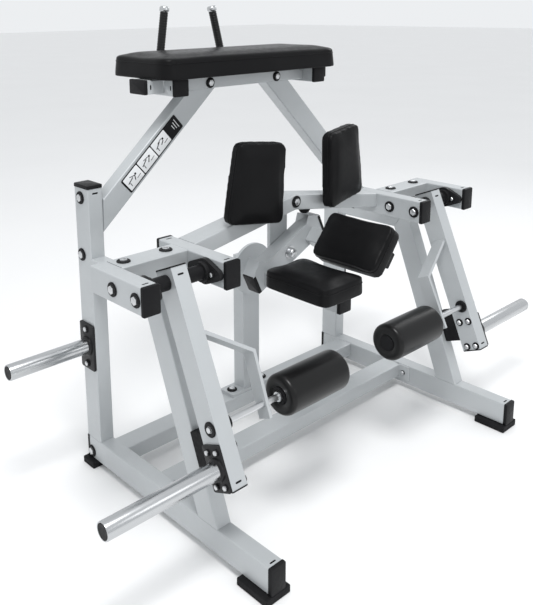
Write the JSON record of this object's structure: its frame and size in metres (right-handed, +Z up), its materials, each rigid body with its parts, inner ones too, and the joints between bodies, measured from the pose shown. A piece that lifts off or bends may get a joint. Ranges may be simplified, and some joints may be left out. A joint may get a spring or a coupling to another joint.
{
  "type": "hip thrust machine",
  "caption": "Plate-loaded kneeling leg machine: tube frame, chest pad with handles, thigh pads, tipping knee cradle and two swinging levers with weight horns and rollers.",
  "frame": {"origin": "on the floor, under the middle of the machine's box", "axes": "+Z up; -Y to the front, where the levers and knee pads are; +X to the machine's right as seen from the front"},
  "size_m": [1.908, 1.0228, 1.4397],
  "materials": {
    "frame_paint": "satin silver-grey powder coat",
    "upholstery": "satin black synthetic leather",
    "roller_foam": "smooth black foam with a satin skin",
    "rubber": "matt black moulded rubber",
    "black_plate": "satin black",
    "black_plastic": "fine-grained moulded caps and washers",
    "chrome": "polished chrome plate",
    "steel": "bright zinc-plated steel"
  },
  "bodies": {
    "frame": {"rear_member": "frame_paint", "front_member": "frame_paint", "centre_post": "frame_paint", "mid_beam": "frame_paint", "hanger_plate": "frame_paint", "spacer_pipe": "steel", "cradle_pin": "steel", "top_cross_tube": "frame_paint", "chest_pad": "upholstery", "left_rail": "frame_paint", "left_front_foot": "rubber", "left_rear_foot": "rubber", "left_upright": "frame_paint", "left_side_beam": "frame_paint", "left_front_leg": "frame_paint", "left_outer_fork_beam": "frame_paint", "left_inner_fork_beam": "frame_paint", "left_fork_cross_tube": "frame_paint", "left_outer_bearing": "black_plate", "left_inner_bearing": "black_plate", "left_lever_stop": "rubber", "left_storage_horn": "chrome", "left_strut": "frame_paint", "left_top_rail": "frame_paint", "left_handle_rail": "frame_paint", "left_handle": "roller_foam", "left_thigh_pad": "upholstery", "right_rail": "frame_paint", "right_front_foot": "rubber", "right_rear_foot": "rubber", "right_upright": "frame_paint", "right_side_beam": "frame_paint", "right_front_leg": "frame_paint", "right_outer_fork_beam": "frame_paint", "right_inner_fork_beam": "frame_paint", "right_fork_cross_tube": "frame_paint", "right_outer_bearing": "black_plate", "right_inner_bearing": "black_plate", "right_lever_stop": "rubber", "right_storage_horn": "chrome", "right_strut": "frame_paint", "right_top_rail": "frame_paint", "right_handle_rail": "frame_paint", "right_handle": "roller_foam", "right_thigh_pad": "upholstery"},
    "left_lever_arm": {"left_lever": "frame_paint", "left_weight_horn": "chrome", "left_roller_arm": "frame_paint", "left_roller_axle": "steel"},
    "left_roller": {"left_ankle_roller": "roller_foam"},
    "right_lever_arm": {"right_lever": "frame_paint", "right_weight_horn": "chrome", "right_roller_arm": "frame_paint", "right_roller_axle": "steel"},
    "right_roller": {"right_ankle_roller": "roller_foam"},
    "cradle": {"cradle_arm": "frame_paint", "left_knee_tube": "frame_paint", "right_knee_tube": "frame_paint", "left_knee_pad": "upholstery", "right_knee_pad": "upholstery"}
  },
  "joints": [
    {"name": "left_lever_swing", "type": "hinge", "parent": "frame", "child": "left_lever_arm", "pos_m": [-0.583, -0.14238, 0.7415], "axis": [-1, 0, 0], "range_deg": [0, 95]},
    {"name": "left_roller_spin", "type": "hinge", "parent": "left_lever_arm", "child": "left_roller", "pos_m": [-0.242, -0.30738, 0.39405], "axis": [1, 0, 0], "continuous": true},
    {"name": "right_lever_swing", "type": "hinge", "parent": "frame", "child": "right_lever_arm", "pos_m": [0.583, -0.14238, 0.7415], "axis": [-1, 0, 0], "range_deg": [0, 95]},
    {"name": "right_roller_spin", "type": "hinge", "parent": "right_lever_arm", "child": "right_roller", "pos_m": [0.242, -0.30738, 0.39405], "axis": [1, 0, 0], "continuous": true},
    {"name": "cradle_tip", "type": "hinge", "parent": "frame", "child": "cradle", "pos_m": [0, 0.02162, 0.65], "axis": [0, 1, 0], "range_deg": [0, 51]}
  ]
}
